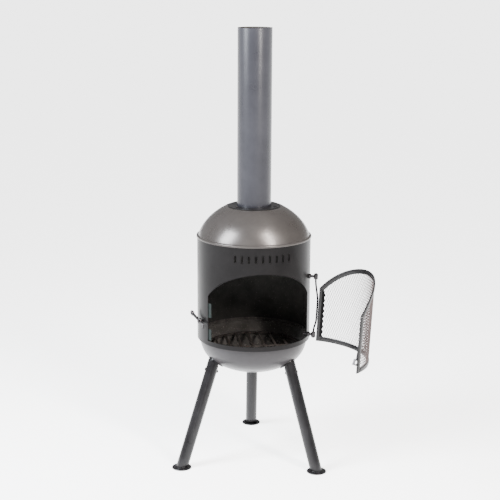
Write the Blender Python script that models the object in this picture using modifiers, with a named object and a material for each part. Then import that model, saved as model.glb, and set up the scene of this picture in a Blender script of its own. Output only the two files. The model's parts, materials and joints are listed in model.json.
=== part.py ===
"""Steel chiminea: a round fire body on three splayed legs, a straight flue, and a spark-guard door.

Metres, +Z up. The front, with the mouth, faces -Y. While it is modelled, the fire body's axis is the Z axis and
the floor is z = 0. The last step moves everything sideways, so that the bounding box stands centred on the origin.
"Along the shell" means an arc length measured on the fire body's outside, zero at the middle of the front.
"""
import math

import bmesh
import bpy
import numpy as np
from mathutils import Matrix, Vector

# Fire body
BODY_RADIUS = 0.200
SHELL_WALL = 0.0022
SHELL_BOTTOM = 0.4470
RIM_HEIGHT = 0.8115            # lower edge of the dome's lip
DOME_WALL = 0.0020
DOME_LIP = 0.0052              # how far the dome laps down over the shell
DOME_CENTRE_DROP = 0.0215      # centre of the dome's curve below its lip
DOME_POWER = 1.84              # superellipse exponent of the dome's curve
SEAT_HEIGHT = 0.9195           # flat top of the dome
SEAT_RADIUS = 0.100
BOWL_WALL = 0.0025
BOWL_LAP = 0.0125              # bowl rim inside the shell, above the shell's lower edge
BOWL_JOGGLE = 0.0075           # step inwards just below the shell
KNUCKLE_RADIUS = 0.0985
CROWN_RADIUS = 0.2816

# Mouth, vent slots and stops
MOUTH_HALF_ANGLE = 61.5
SILL_HEIGHT = 0.4630
MOUTH_SIDE_TOP = 0.6240
MOUTH_PEAK = 0.7190
VENT_COUNT = 9
VENT_PITCH = 0.0240            # along the shell
VENT_WIDTH = 0.0085
VENT_LENGTH = 0.0270
VENT_HEIGHT = 0.7710
STOP_WALL = 0.0020
STOP_REACH = 0.0150            # how far a stop shows in the mouth
STOP_LAP = 0.0150
STOP_HEIGHTS = {"lower": (0.4660, 0.5050), "upper": (0.5470, 0.5980)}

# Flue
FLUE_RADIUS = 0.0596
FLUE_WALL = 0.0018
FLUE_TOP = 1.5360
FLUE_DROP = 0.0150             # flue end below the dome's seat
FLANGE_RADIUS = 0.0918
FLANGE_THICKNESS = 0.0032
FLANGE_BOLT_RADIUS = 0.0785
FLANGE_SCREW_START = 90.0
FLANGE_SCREW_COUNT = 3

# Legs
LEG_AZIMUTHS = (82.2, 200.7, 313.3)
FOOT_CIRCLES = (0.3120, 0.2900, 0.2840)   # foot to body axis: the back leg stands a little wider
LEG_TOP_RADIUS = 0.1600        # where a leg meets the bowl
LEG_RADIUS = 0.0209
LEG_WALL = 0.0018
FOOT_RADIUS = 0.0345
FOOT_THICKNESS = 0.0040
FOOT_CUT = 7.0                 # the leg's lower cut rises towards the axis by this angle
FOOT_SPIGOT = 0.0300
SOCKET_LENGTH = 0.0640
SADDLE_RADIUS = 0.0300
SADDLE_THICKNESS = 0.0030
SADDLE_SHIFT = 0.0080          # the saddle plate sits this much further in than the leg
LEG_BOLT_DROP = 0.0330         # bolt below the bowl, along the leg
LEG_BOLT_RADIUS = 0.0030
LEG_BOLT_FLATS = 0.0100
LEG_HEAD_HEIGHT = 0.0040
LEG_NUT_HEIGHT = 0.0050

# Fasteners
M6_RADIUS = 0.0030
M6_HEAD_RADIUS = 0.0056
EYEBOLT_RADIUS = 0.0048
EYEBOLT_NUT_FLATS = 0.0160
EYEBOLT_NUT_HEIGHT = 0.0070
HOLE_CLEARANCE = 0.0004

# Grate
GRATE_RADIUS = 0.1760
GRATE_BAR = 0.0080
GRATE_HEIGHT = 0.0060
GRATE_BARS = 7
GRATE_PITCH = 0.0410

# Door: a channel frame around expanded metal, rolled to the shell and hung on a cranked rod
DOOR_STANDOFF = 0.0030         # frame's inner face to the shell
DOOR_DEPTH = 0.0060
DOOR_WALL = 0.0013
DOOR_RAIL = 0.0170
DOOR_HINGE_LAP = 0.0007        # frame past the mouth's edge on the hinge side
DOOR_LATCH_SHORT = 0.0122      # frame short of the mouth's edge on the latch side
DOOR_BOTTOM = 0.4525
DOOR_SIDE_TOP = 0.6451
DOOR_PEAK = 0.7486
MESH_THICKNESS = 0.0012
MESH_LAP = 0.0110              # mesh inside the channel
DOOR_OPEN = 98.3               # swing of the rest pose from shut

# Hinge: the axis leans a little, so the open door hangs outwards
HINGE_STANDOFF = 0.0201        # axis to the shell at the lower eye
HINGE_PAST_DOOR = 0.0111       # axis beyond the frame's edge, along the shell
HINGE_LEAN = 2.0
HINGE_LEAN_AZIMUTH = 20.0
EYE_LOW = 0.4700
EYE_HIGH = 0.6800
EYE_RADIUS = 0.0076
EYE_HEIGHT = 0.0180
ROD_RADIUS = 0.0033
ROD_CLEARANCE = 0.0004
ROD_CRANK_HIGH = (0.658, 0.606)
ROD_CRANK_LOW = (0.522, 0.492)
ROD_OVERRUN = 0.0120           # rod end past the middle of each eye

# Latch
LATCH_AZIMUTH = -72.3          # from the front, round the body
LATCH_HEIGHT = 0.5270
LATCH_STANDOFF = 0.0100        # bar's middle to the shell
LATCH_BAR = 0.0078
LATCH_ARM = 0.0350
LATCH_HOOK = 0.0140
LATCH_TAIL = 0.0580
LATCH_EYE_RADIUS = 0.0114
LATCH_RISE = 11.0              # slope of the bar
LATCH_TWIST = 540.0
STRAP_SIZE = (0.0345, 0.0210)
STRAP_TURN = 22.0              # the plate's long side climbs away from the door
STRAP_HEIGHT = 0.4900
STRAP_HOLE = 0.0064
STRAP_STANDOFF = 0.0007
STRAP_BAR = 0.0085
STRAP_BAR_TOP = (-0.0118, 0.5495)   # past the frame's edge, height

GAP = 0.0003                   # air between touching pieces
ROUND = 64
SMALL_ROUND = 16
MERGE = 0.00001

# Worked out from the sizes above
SHELL_INSIDE = BODY_RADIUS - SHELL_WALL
SHELL_TOP = RIM_HEIGHT + DOME_LIP
MOUTH_HALF = BODY_RADIUS * math.radians(MOUTH_HALF_ANGLE)
DOOR_HINGE_EDGE = MOUTH_HALF + DOOR_HINGE_LAP
DOOR_LATCH_EDGE = -(MOUTH_HALF - DOOR_LATCH_SHORT)
DOOR_INSIDE = BODY_RADIUS + DOOR_STANDOFF
DOOR_OUTSIDE = DOOR_INSIDE + DOOR_DEPTH
FLANGE_TOP = SEAT_HEIGHT + GAP + FLANGE_THICKNESS

NODES = bpy.data.collections.new("chiminea")
CUTTERS = bpy.data.collections.new("cutters")


def start_clean():
    for item in list(bpy.data.objects):
        bpy.data.objects.remove(item)
    bpy.context.scene.collection.children.link(NODES)
    bpy.context.scene.collection.children.link(CUTTERS)


def paint(name, colour, roughness, metallic):
    """A painted or bare metal finish."""
    finish = bpy.data.materials.new(name)
    finish.use_nodes = True
    shader = finish.node_tree.nodes["Principled BSDF"]
    shader.inputs["Base Color"].default_value = (*colour, 1.0)
    shader.inputs["Roughness"].default_value = roughness
    shader.inputs["Metallic"].default_value = metallic
    return finish


def new_object(name, mesh, finish=None):
    item = bpy.data.objects.new(name, mesh)
    NODES.objects.link(item)
    if finish:
        mesh.materials.append(finish)
    return item


def smooth(item, degrees=35.0):
    item.data.shade_smooth()
    item.data.set_sharp_from_angle(angle=math.radians(degrees))


def bake(item):
    """Apply the modifiers, so that the piece is a plain mesh."""
    graph = bpy.context.evaluated_depsgraph_get()
    mesh = bpy.data.meshes.new_from_object(item.evaluated_get(graph))
    item.modifiers.clear()
    item.data = mesh
    return item


def place(item, matrix):
    """Move a piece's mesh, leaving the object at the origin."""
    item.data.transform(matrix)
    return item


def boolean(item, other, operation="DIFFERENCE"):
    """Cut or join at once; the other object goes to the cutters."""
    step = item.modifiers.new("cut", "BOOLEAN")
    step.operation = operation
    step.solver = "EXACT"
    step.object = other
    bake(item)
    bpy.data.objects.remove(other)
    work = bmesh.new()
    work.from_mesh(item.data)
    bmesh.ops.dissolve_degenerate(work, edges=work.edges, dist=MERGE)
    work.to_mesh(item.data)
    work.free()
    return item


def turned(name, profile, finish=None, closed=True, steps=ROUND):
    """Turn a profile of (radius, height) points, run down its outer side, about Z."""
    mesh = bpy.data.meshes.new(name)
    edges = [(i, i + 1) for i in range(len(profile) - 1)]
    if closed:
        edges.append((len(profile) - 1, 0))
    mesh.from_pydata([(radius, 0.0, height) for radius, height in profile], edges, [])
    item = new_object(name, mesh, finish)
    screw = item.modifiers.new("turn", "SCREW")
    screw.angle = math.tau
    screw.steps = steps
    screw.render_steps = steps
    screw.use_merge_vertices = True
    screw.merge_threshold = MERGE
    return bake(item)


def tube(name, outer, inner, bottom, top, finish=None, steps=ROUND):
    return turned(name, [(outer, top), (outer, bottom), (inner, bottom), (inner, top)], finish, steps=steps)


def rod(name, radius, bottom, top, finish=None, steps=SMALL_ROUND):
    """A solid round bar along Z."""
    bpy.ops.mesh.primitive_cylinder_add(vertices=steps, radius=radius, depth=top - bottom)
    return adopt(name, finish, Matrix.Translation((0, 0, (top + bottom) / 2)))


def hexagon(name, flats, bottom, top, finish=None):
    bpy.ops.mesh.primitive_cylinder_add(vertices=6, radius=flats / math.sqrt(3.0), depth=top - bottom)
    item = adopt(name, finish, Matrix.Translation((0, 0, (top + bottom) / 2)))
    chamfer = item.modifiers.new("chamfer", "BEVEL")
    chamfer.width = 0.0004
    chamfer.segments = 1
    return bake(item)


def box(name, size, centre, finish=None):
    bpy.ops.mesh.primitive_cube_add(size=1.0)
    return adopt(name, finish, Matrix.Translation(centre) @ Matrix.Diagonal((*size, 1.0)))


def adopt(name, finish, matrix):
    """Take the primitive just added as a named piece."""
    item = bpy.context.object
    for holder in list(item.users_collection):
        holder.objects.unlink(item)
    NODES.objects.link(item)
    item.name = name
    item.data.name = name
    if finish:
        item.data.materials.append(finish)
    return place(item, matrix)


def flat_plate(name, outline, thickness, finish=None):
    """A closed outline in X and Z, as thick as said along Y, centred on Y = 0."""
    curve = bpy.data.curves.new(name, "CURVE")
    curve.dimensions = "2D"
    curve.fill_mode = "BOTH"
    curve.extrude = thickness / 2
    spline = curve.splines.new("POLY")
    spline.points.add(len(outline) - 1)
    for point, (across, up) in zip(spline.points, outline):
        point.co = (across, up, 0.0, 1.0)
    spline.use_cyclic_u = True
    return meshed(name, curve, finish, Matrix.Rotation(math.radians(90.0), 4, "X"))


def wire(name, points, radius, finish=None, resolution=3):
    curve = bpy.data.curves.new(name, "CURVE")
    curve.dimensions = "3D"
    curve.bevel_depth = radius
    curve.bevel_resolution = resolution
    curve.use_fill_caps = True
    spline = curve.splines.new("POLY")
    spline.points.add(len(points) - 1)
    for point, position in zip(spline.points, points):
        point.co = (*position, 1.0)
    return meshed(name, curve, finish, Matrix.Identity(4))


def meshed(name, curve, finish, matrix):
    """Turn a curve into a closed mesh piece."""
    drawn = bpy.data.objects.new(name + "_curve", curve)
    NODES.objects.link(drawn)
    graph = bpy.context.evaluated_depsgraph_get()
    mesh = bpy.data.meshes.new_from_object(drawn.evaluated_get(graph))
    bpy.data.objects.remove(drawn)
    mesh.materials.clear()
    work = bmesh.new()
    work.from_mesh(mesh)
    bmesh.ops.remove_doubles(work, verts=work.verts, dist=MERGE)
    bmesh.ops.recalc_face_normals(work, faces=work.faces)
    bmesh.ops.dissolve_limit(work, angle_limit=0.005, verts=work.verts, edges=work.edges)
    work.to_mesh(mesh)
    work.free()
    item = new_object(name, mesh, finish)
    item.name = name
    return place(item, matrix)


def rounded(points, radius, steps=4):
    """Round the inner corners of an open path."""
    path = [Vector(points[0])]
    for before, corner, after in zip(points, points[1:], points[2:]):
        corner = Vector(corner)
        back = (Vector(before) - corner)
        ahead = (Vector(after) - corner)
        reach = min(radius, back.length / 2.2, ahead.length / 2.2)
        start = corner + back.normalized() * reach
        end = corner + ahead.normalized() * reach
        for i in range(steps + 1):
            t = i / steps
            path.append(start * (1 - t) ** 2 + corner * 2 * t * (1 - t) + end * t ** 2)
    path.append(Vector(points[-1]))
    return path


def roll(item, inside, facet=0.0150):
    """Roll a flat plate to the shell: X becomes arc length, and Y = 0 lands on the inside radius, -Y outwards."""
    work = bmesh.new()
    work.from_mesh(item.data)
    low = min(vert.co.x for vert in work.verts)
    high = max(vert.co.x for vert in work.verts)
    for cut in np.arange(math.ceil(low / facet), math.ceil(high / facet)) * facet:
        everything = work.verts[:] + work.edges[:] + work.faces[:]
        bmesh.ops.bisect_plane(work, geom=everything, plane_co=(cut, 0, 0), plane_no=(1, 0, 0), dist=MERGE)
    for vert in work.verts:
        angle = vert.co.x / BODY_RADIUS
        radius = inside - vert.co.y
        vert.co = (radius * math.sin(angle), -radius * math.cos(angle), vert.co.z)
    bmesh.ops.triangulate(work, faces=work.faces)
    work.to_mesh(item.data)
    work.free()
    return item


def rolled_plate(name, outline, inside, outside, finish=None):
    item = flat_plate(name, outline, outside - inside, finish)
    place(item, Matrix.Translation((0, -(outside - inside) / 2, 0)))
    return roll(item, inside)


def on_shell(along, standoff, height):
    """A point beside the shell, by arc length, distance out from the shell, and height."""
    angle = along / BODY_RADIUS
    radius = BODY_RADIUS + standoff
    return Vector((radius * math.sin(angle), -radius * math.cos(angle), height))


def facing_out(origin):
    """A frame whose Z points away from the body's axis, X along the shell and Y up."""
    out = Vector((origin.x, origin.y, 0.0)).normalized()
    up = Vector((0.0, 0.0, 1.0))
    turn = Matrix((up.cross(out), up, out)).transposed().to_4x4()
    return Matrix.Translation(origin) @ turn


def arch(left, right, side_top, peak, steps=26):
    """Points of a circular arch from the right spring to the left one."""
    half = (right - left) / 2
    middle = (right + left) / 2
    rise = peak - side_top
    radius = (half * half + rise * rise) / (2 * rise)
    centre = peak - radius
    spring = math.asin(half / radius) if centre < side_top else math.pi - math.asin(half / radius)
    angles = np.linspace(spring, -spring, steps + 1)
    return [(middle + radius * math.sin(a), centre + radius * math.cos(a)) for a in angles]


def mouth_cutter():
    """A prism that cuts the arched mouth straight through the front of the shell."""
    outline = [(-MOUTH_HALF, SILL_HEIGHT), (MOUTH_HALF, SILL_HEIGHT)]
    outline += arch(-MOUTH_HALF, MOUTH_HALF, MOUTH_SIDE_TOP, MOUTH_PEAK)
    cutter = flat_plate("mouth_cutter", outline, BODY_RADIUS / 5)
    place(cutter, Matrix.Translation((0, -BODY_RADIUS / 20, 0)))
    return roll(cutter, SHELL_INSIDE - BODY_RADIUS / 20)


def vent_cutter(along):
    cutter = box("vent_cutter", (VENT_WIDTH, BODY_RADIUS / 5, VENT_LENGTH), (0, 0, 0))
    bevel = cutter.modifiers.new("round", "BEVEL")
    bevel.width = VENT_WIDTH * 0.49
    bevel.segments = 4
    bevel.affect = "EDGES"
    bevel.limit_method = "NONE"
    bake(cutter)
    centre = on_shell(along, 0.0, VENT_HEIGHT)
    return place(cutter, Matrix.Translation(centre) @ Matrix.Rotation(along / BODY_RADIUS, 4, "Z"))


def hole_cutter(radius, matrix, length=0.060):
    return place(rod("hole_cutter", radius, -length / 2, length / 2), matrix)


def dome_height(radius):
    """Outer height of the dome at a radius inside its lip."""
    base = RIM_HEIGHT - DOME_CENTRE_DROP
    ratio = (1 - (SEAT_RADIUS / (BODY_RADIUS + DOME_WALL / 2)) ** DOME_POWER) ** (1 / DOME_POWER)
    height = (SEAT_HEIGHT - base) / ratio
    share = min(radius / (BODY_RADIUS + DOME_WALL / 2), 1.0)
    return base + height * (1 - share ** DOME_POWER) ** (1 / DOME_POWER)


def dome_profile():
    lip_inside = BODY_RADIUS + GAP
    lip_outside = lip_inside + DOME_WALL
    shoulder = SHELL_TOP + GAP + DOME_WALL
    outer = [(lip_outside, RIM_HEIGHT), (lip_outside, shoulder - 0.0028), (lip_outside - 0.0009, shoulder - 0.0009)]
    radii = SEAT_RADIUS + (BODY_RADIUS - 0.0045 - SEAT_RADIUS) * np.cos(np.linspace(0, math.pi / 2, 10))
    outer += [(r, max(dome_height(r), shoulder)) for r in radii]
    hole = FLUE_RADIUS + HOLE_CLEARANCE
    outer.append((hole, SEAT_HEIGHT))
    inner = [(hole, SEAT_HEIGHT - DOME_WALL)]
    inner += [(r - DOME_WALL * 0.7, max(dome_height(r), shoulder) - DOME_WALL) for r in radii[::-1]]
    inner.append((lip_inside, SHELL_TOP + GAP))
    inner.append((lip_inside, RIM_HEIGHT))
    return (outer + inner)[::-1]


def bowl_depth(radius, wall=0.0):
    """Height of the bowl's outer surface, or of a surface inside it by a wall, at a radius."""
    rim = SHELL_INSIDE - GAP - BOWL_JOGGLE
    knuckle = KNUCKLE_RADIUS - wall
    crown = CROWN_RADIUS - wall
    level = SHELL_BOTTOM - 0.0015
    across = rim - KNUCKLE_RADIUS
    crown_centre = level + math.sqrt((CROWN_RADIUS - KNUCKLE_RADIUS) ** 2 - across ** 2)
    meeting = across * crown / (CROWN_RADIUS - KNUCKLE_RADIUS)
    if radius < meeting:
        return crown_centre - math.sqrt(crown ** 2 - radius ** 2)
    return level - math.sqrt(max(knuckle ** 2 - (radius - across) ** 2, 0.0))


def bowl_profile():
    rim = SHELL_INSIDE - GAP
    step = rim - BOWL_JOGGLE
    top = SHELL_BOTTOM + BOWL_LAP
    turns = np.linspace(0, math.pi / 2, 13)
    outer = [(step * math.cos(t), bowl_depth(step * math.cos(t))) for t in turns[:-1]]
    inside = step - BOWL_WALL
    inner = [(inside * math.cos(t), bowl_depth(inside * math.cos(t), BOWL_WALL)) for t in turns[:-1]]
    down = [(rim, top), (rim, SHELL_BOTTOM + 0.0045), *outer, (0.0, bowl_depth(0.0))]
    up = [(0.0, bowl_depth(0.0, BOWL_WALL)), *inner[::-1], (rim - BOWL_WALL, SHELL_BOTTOM + 0.0060),
          (rim - BOWL_WALL, top)]
    return up + down


def make_fire_body(steel, bare):
    shell = tube("body_shell", BODY_RADIUS, SHELL_INSIDE, SHELL_BOTTOM, SHELL_TOP, steel)
    boolean(shell, mouth_cutter())
    for i in range(VENT_COUNT):
        boolean(shell, vent_cutter((i - (VENT_COUNT - 1) / 2) * VENT_PITCH))
    for matrix in eyebolt_frames().values():
        boolean(shell, hole_cutter(EYEBOLT_RADIUS + HOLE_CLEARANCE, matrix))
    boolean(shell, hole_cutter(M6_RADIUS + HOLE_CLEARANCE, latch_frame()))
    smooth(shell)
    dome = turned("dome", dome_profile(), steel)
    for matrix in flange_screw_frames():
        boolean(dome, hole_cutter(M6_RADIUS + HOLE_CLEARANCE, matrix))
    smooth(dome)
    bowl = turned("bowl", bowl_profile(), steel, closed=False)
    smooth(bowl)
    for name, (bottom, top) in STOP_HEIGHTS.items():
        left = -MOUTH_HALF - STOP_LAP
        right = -MOUTH_HALF + STOP_REACH
        outline = [(left, bottom), (right, bottom), (right, top), (left, top)]
        outside = SHELL_INSIDE - GAP
        stop = rolled_plate("door_stop_" + name, outline, outside - STOP_WALL, outside, steel)
        smooth(stop)
    make_grate(bare)


def make_grate(finish):
    """A round grate that drops onto the bowl's wall."""
    low = bowl_depth(GRATE_RADIUS + BOWL_WALL, 0.0) + BOWL_WALL * 2
    high = low + GRATE_HEIGHT
    grate = tube("fire_grate", GRATE_RADIUS, GRATE_RADIUS - GRATE_BAR, low, high, finish, steps=48)
    inside = GRATE_RADIUS - GRATE_BAR / 2
    for i in range(GRATE_BARS):
        offset = (i - (GRATE_BARS - 1) / 2) * GRATE_PITCH
        length = 2 * math.sqrt(inside ** 2 - offset ** 2)
        bar = box("bar", (GRATE_BAR, length, GRATE_HEIGHT * 0.8), (offset, 0, (low + high) / 2))
        boolean(grate, bar, "UNION")
    tie = box("tie", (2 * inside, GRATE_BAR, GRATE_HEIGHT * 0.6), (0, 0, (low + high) / 2))
    boolean(grate, tie, "UNION")
    smooth(grate)


def flange_screw_frames():
    frames = []
    for i in range(FLANGE_SCREW_COUNT):
        turn = Matrix.Rotation(math.radians(FLANGE_SCREW_START + i * 360.0 / FLANGE_SCREW_COUNT), 4, "Z")
        frames.append(turn @ Matrix.Translation((FLANGE_BOLT_RADIUS, 0, FLANGE_TOP + GAP)))
    return frames


def make_flue(steel, bare):
    pipe = tube("flue_pipe", FLUE_RADIUS, FLUE_RADIUS - FLUE_WALL, SEAT_HEIGHT - FLUE_DROP, FLUE_TOP, steel)
    smooth(pipe)
    bottom = SEAT_HEIGHT + GAP
    flange = tube("flue_flange", FLANGE_RADIUS, FLUE_RADIUS + GAP, bottom, FLANGE_TOP, steel)
    for i, matrix in enumerate(flange_screw_frames()):
        boolean(flange, hole_cutter(M6_RADIUS + HOLE_CLEARANCE, matrix))
        head = [(0.0, 0.0035), (M6_HEAD_RADIUS * 0.6, 0.0031), (M6_HEAD_RADIUS, 0.0014), (M6_HEAD_RADIUS, 0.0),
                (M6_RADIUS, 0.0), (M6_RADIUS, -0.0140), (0.0, -0.0140)]
        screw = turned(f"flange_screw_{i + 1}", head, bare, closed=False, steps=SMALL_ROUND)
        smooth(place(screw, matrix))
    smooth(flange)


def leg_lean(foot_circle):
    """A leg's lean from upright, from its foot to where it meets the bowl."""
    return math.atan2(foot_circle - LEG_TOP_RADIUS, bowl_depth(LEG_TOP_RADIUS))


def leg_frame(azimuth, foot_circle):
    """Z runs up the leg from the floor, X outwards."""
    turn = Matrix.Rotation(math.radians(azimuth), 4, "Z")
    return turn @ Matrix.Translation((foot_circle, 0, 0)) @ Matrix.Rotation(-leg_lean(foot_circle), 4, "Y")


def bowl_blank(extra):
    """The bowl's outside grown by a distance, as a solid cutter."""
    step = SHELL_INSIDE - GAP - BOWL_JOGGLE
    profile = [(0.0, RIM_HEIGHT), (step + extra, RIM_HEIGHT)]
    for t in np.linspace(0, math.pi / 2, 13)[:-1]:
        radius = step * math.cos(t)
        slope = math.atan2(bowl_depth(radius) - bowl_depth(max(radius - 0.0005, 0)), 0.0005)
        profile.append((radius + extra * math.sin(slope), bowl_depth(radius) - extra * math.cos(slope)))
    profile.append((0.0, bowl_depth(0.0) - extra))
    return turned("bowl_blank", profile, closed=False)


def make_legs(steel, bare):
    height = bowl_depth(LEG_TOP_RADIUS)
    slope = math.atan2(bowl_depth(LEG_TOP_RADIUS + 0.001) - bowl_depth(LEG_TOP_RADIUS - 0.001), 0.002)
    inner = LEG_RADIUS - LEG_WALL
    cut_gap = SADDLE_THICKNESS + 3 * GAP
    for i, (azimuth, circle) in enumerate(zip(LEG_AZIMUTHS, FOOT_CIRCLES)):
        number = i + 1
        reach = height / math.cos(leg_lean(circle))
        frame = leg_frame(azimuth, circle)
        turn = Matrix.Rotation(math.radians(azimuth), 4, "Z")
        across = Matrix.Translation((0, 0, reach - LEG_BOLT_DROP)) @ Matrix.Rotation(math.pi / 2, 4, "Y")
        bowl_plane = turn @ Matrix.Translation((LEG_TOP_RADIUS, 0, height)) @ Matrix.Rotation(-slope, 4, "Y")
        leg = place(tube(f"leg_{number}", LEG_RADIUS, inner, -0.020, reach + 0.040, steel, steps=32), frame)
        above = box("above", (0.3, 0.3, 0.1), (0, 0, 0.05 - cut_gap))
        boolean(leg, place(above, bowl_plane))
        floor = turn @ Matrix.Translation((circle + LEG_RADIUS, 0, FOOT_THICKNESS + GAP))
        below = box("below", (0.4, 0.3, 0.1), (0, 0, -0.05))
        boolean(leg, place(below, floor @ Matrix.Rotation(math.radians(FOOT_CUT), 4, "Y")))
        boolean(leg, hole_cutter(LEG_BOLT_RADIUS + HOLE_CLEARANCE, frame @ across, 4 * LEG_RADIUS))
        drain = frame @ Matrix.Translation((0, 0, 0.022)) @ Matrix.Rotation(math.pi / 2, 4, "X")
        boolean(leg, place(rod("drain", 0.0022, 0.0, 2 * LEG_RADIUS, steps=10), drain))
        smooth(leg)
        make_socket(number, frame, across, bowl_plane, reach, inner, steel)
        make_leg_bolt(number, frame @ across, bare)
        make_foot(number, circle, frame, turn, inner, steel)


def make_socket(number, frame, across, bowl_plane, reach, inner, finish):
    """A stub that the leg slips over, with a saddle plate on the bowl."""
    stub_radius = inner - 0.0004
    socket = tube(f"leg_socket_{number}", stub_radius, stub_radius - 0.0022, reach - SOCKET_LENGTH, reach + 0.030,
                  finish, steps=32)
    place(socket, frame)
    saddle = rod("saddle", SADDLE_RADIUS, -0.020, 0.020, steps=32)
    place(saddle, bowl_plane @ Matrix.Translation((-SADDLE_SHIFT, 0, 0)))
    boolean(saddle, bowl_blank(SADDLE_THICKNESS + GAP), "INTERSECT")
    boolean(socket, saddle, "UNION")
    boolean(socket, bowl_blank(GAP))
    boolean(socket, hole_cutter(LEG_BOLT_RADIUS + HOLE_CLEARANCE, frame @ across, 4 * LEG_RADIUS))
    smooth(socket)


def make_leg_bolt(number, matrix, finish):
    """A cross bolt with its head outside and its nut on the inner side."""
    seat = LEG_RADIUS + GAP
    bolt = rod(f"leg_bolt_{number}", LEG_BOLT_RADIUS, -seat - LEG_NUT_HEIGHT - 0.0020, seat + 0.0010, finish)
    head = hexagon("head", LEG_BOLT_FLATS, seat, seat + LEG_HEAD_HEIGHT)
    place(boolean(bolt, head, "UNION"), matrix)
    nut = hexagon(f"leg_nut_{number}", LEG_BOLT_FLATS, -seat - LEG_NUT_HEIGHT, -seat, finish)
    boolean(nut, hole_cutter(LEG_BOLT_RADIUS + GAP, Matrix.Identity(4), 6 * LEG_RADIUS))
    place(nut, matrix)


def make_foot(number, circle, frame, turn, inner, finish):
    """A round plate on the floor, with a spigot up inside the leg."""
    foot = turned(f"foot_{number}", [(0.0, FOOT_THICKNESS), (FOOT_RADIUS - 0.0008, FOOT_THICKNESS),
                                     (FOOT_RADIUS, FOOT_THICKNESS - 0.0008), (FOOT_RADIUS, 0.0), (0.0, 0.0)],
                  finish, closed=False, steps=48)
    place(foot, turn @ Matrix.Translation((circle, 0, 0)))
    spigot = place(rod("spigot", inner - 0.0006, 0.0, FOOT_SPIGOT, steps=32), frame)
    floor = box("floor", (1.0, 1.0, 0.1), (0, 0, FOOT_THICKNESS / 2 - 0.05))
    boolean(spigot, floor)
    boolean(foot, spigot, "UNION")
    smooth(foot)


def hinge_line(height):
    """A point of the hinge axis at a height, with the door shut or open."""
    base = on_shell(DOOR_HINGE_EDGE + HINGE_PAST_DOOR, HINGE_STANDOFF, EYE_LOW)
    return base + hinge_direction() * ((height - EYE_LOW) / hinge_direction().z)


def hinge_direction():
    lean = math.radians(HINGE_LEAN)
    azimuth = math.radians(HINGE_LEAN_AZIMUTH)
    return Vector((math.sin(lean) * math.cos(azimuth), math.sin(lean) * math.sin(azimuth), math.cos(lean)))


def eyebolt_frames():
    return {name: facing_out(hinge_line(height)) for name, height in (("lower", EYE_LOW), ("upper", EYE_HIGH))}


def make_hinge(steel, bare):
    turn = Vector((0, 0, 1)).rotation_difference(hinge_direction()).to_matrix().to_4x4()
    for name, frame in eyebolt_frames().items():
        origin = frame.translation
        reach = Vector((origin.x, origin.y)).length
        eye_frame = Matrix.Translation(origin) @ turn
        bolt = place(rod("eyebolt_" + name, EYEBOLT_RADIUS, SHELL_INSIDE - 0.013 - reach, 0.0, bare), frame)
        eye = rod("eye", EYE_RADIUS, -EYE_HEIGHT / 2, EYE_HEIGHT / 2, steps=24)
        boolean(bolt, place(eye, eye_frame), "UNION")
        boolean(bolt, hole_cutter(ROD_RADIUS + ROD_CLEARANCE, eye_frame, 2 * EYE_HEIGHT))
        smooth(bolt)
        outside = math.sqrt(BODY_RADIUS ** 2) - reach + GAP
        inside = SHELL_INSIDE - reach - GAP
        spots = {"outer": (outside, outside + EYEBOLT_NUT_HEIGHT),
                 "inner": (inside - EYEBOLT_NUT_HEIGHT - 0.0004, inside - 0.0004)}
        for side, (low, high) in spots.items():
            nut = hexagon(f"eyebolt_nut_{name}_{side}", EYEBOLT_NUT_FLATS, low, high, bare)
            boolean(nut, hole_cutter(EYEBOLT_RADIUS + GAP, Matrix.Translation((0, 0, low)), 0.04))
            place(nut, frame)


def door_outline(inset):
    """The frame's outline, inset by a distance: bottom edge first, then the arch from the hinge side."""
    left = DOOR_LATCH_EDGE + inset
    right = DOOR_HINGE_EDGE - inset
    half = (DOOR_HINGE_EDGE - DOOR_LATCH_EDGE) / 2
    rise = DOOR_PEAK - DOOR_SIDE_TOP
    radius = (half * half + rise * rise) / (2 * rise)
    centre = DOOR_PEAK - radius
    side_top = centre + math.sqrt((radius - inset) ** 2 - (half - inset) ** 2)
    bottom = [(left, DOOR_BOTTOM + inset), (right, DOOR_BOTTOM + inset)]
    return bottom, arch(left, right, side_top, DOOR_PEAK - inset)


def door_piece(name, outline, finish):
    """One length of channel: a rolled bar with a slot along its inner edge for the mesh."""
    item = rolled_plate(name, outline, DOOR_INSIDE, DOOR_OUTSIDE, finish)
    bottom, top = door_outline(DOOR_WALL)
    slot = rolled_plate("slot", bottom + top, DOOR_INSIDE + DOOR_WALL, DOOR_OUTSIDE - DOOR_WALL)
    boolean(item, slot)
    smooth(item)
    return item


def make_door(steel, bare, expanded):
    (outer_left, outer_right), outer_arch = door_outline(0.0)
    (inner_left, inner_right), inner_arch = door_outline(DOOR_RAIL)
    mitre = 2 * GAP
    pieces = [
        door_piece("door_arch_rail", outer_arch + inner_arch[::-1], steel),
        door_piece("door_bottom_rail", [(inner_left[0], outer_left[1]), (inner_right[0], outer_left[1]),
                                        inner_right, inner_left], steel),
        door_piece("door_hinge_stile", [(inner_right[0] + mitre, outer_right[1]), outer_right,
                                        (outer_arch[0][0], outer_arch[0][1] - mitre),
                                        (inner_arch[0][0] + mitre, inner_arch[0][1] - mitre)], steel),
        door_piece("door_latch_stile", [outer_left, (inner_left[0] - mitre, outer_left[1]),
                                        (inner_arch[-1][0] - mitre, inner_arch[-1][1] - mitre),
                                        (outer_arch[-1][0], outer_arch[-1][1] - mitre)], steel),
    ]
    bottom, top = door_outline(DOOR_RAIL - MESH_LAP)
    middle = (DOOR_INSIDE + DOOR_OUTSIDE) / 2
    mesh = rolled_plate("door_mesh", bottom + top, middle - MESH_THICKNESS / 2, middle + MESH_THICKNESS / 2, expanded)
    smooth(mesh)
    pieces += [mesh, make_hinge_rod(steel), make_latch_strap(bare)]
    hang_door(pieces)


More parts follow.
